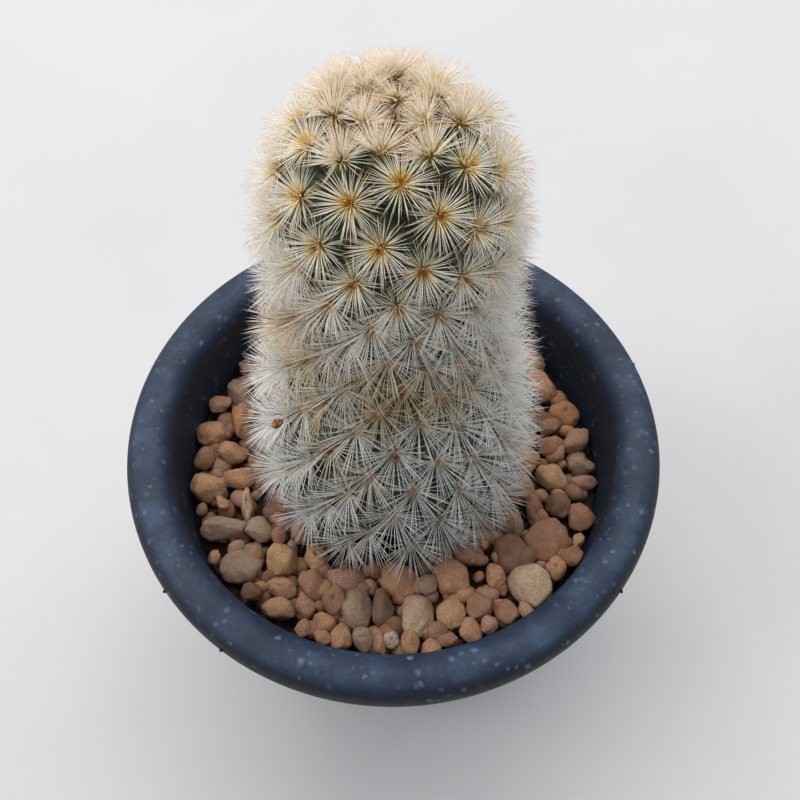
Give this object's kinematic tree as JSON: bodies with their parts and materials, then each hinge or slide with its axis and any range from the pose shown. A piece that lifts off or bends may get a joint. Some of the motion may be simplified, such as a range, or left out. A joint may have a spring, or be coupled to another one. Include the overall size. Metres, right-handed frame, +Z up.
{
  "type": "potted mammillaria cactus",
  "caption": "Dome-topped column cactus, wider at its foot, with spiral tubercles and radiating white spines, set in pebbles in a round thick-lipped tapered plastic pot.",
  "frame": {"origin": "centre of the pot's foot, on the surface it stands on", "axes": "+Z up along the pot's axis; -Y faces the picture's camera"},
  "size_m": [0.09, 0.09, 0.1367],
  "materials": {
    "pot_plastic": "satin",
    "potting_mix": "matte",
    "pebbles": "matte",
    "cactus": "matte"
  },
  "bodies": {
    "root": {"pot": "pot_plastic", "potting_mix": "potting_mix", "grit": "pebbles", "cactus": "cactus"}
  },
  "joints": []
}
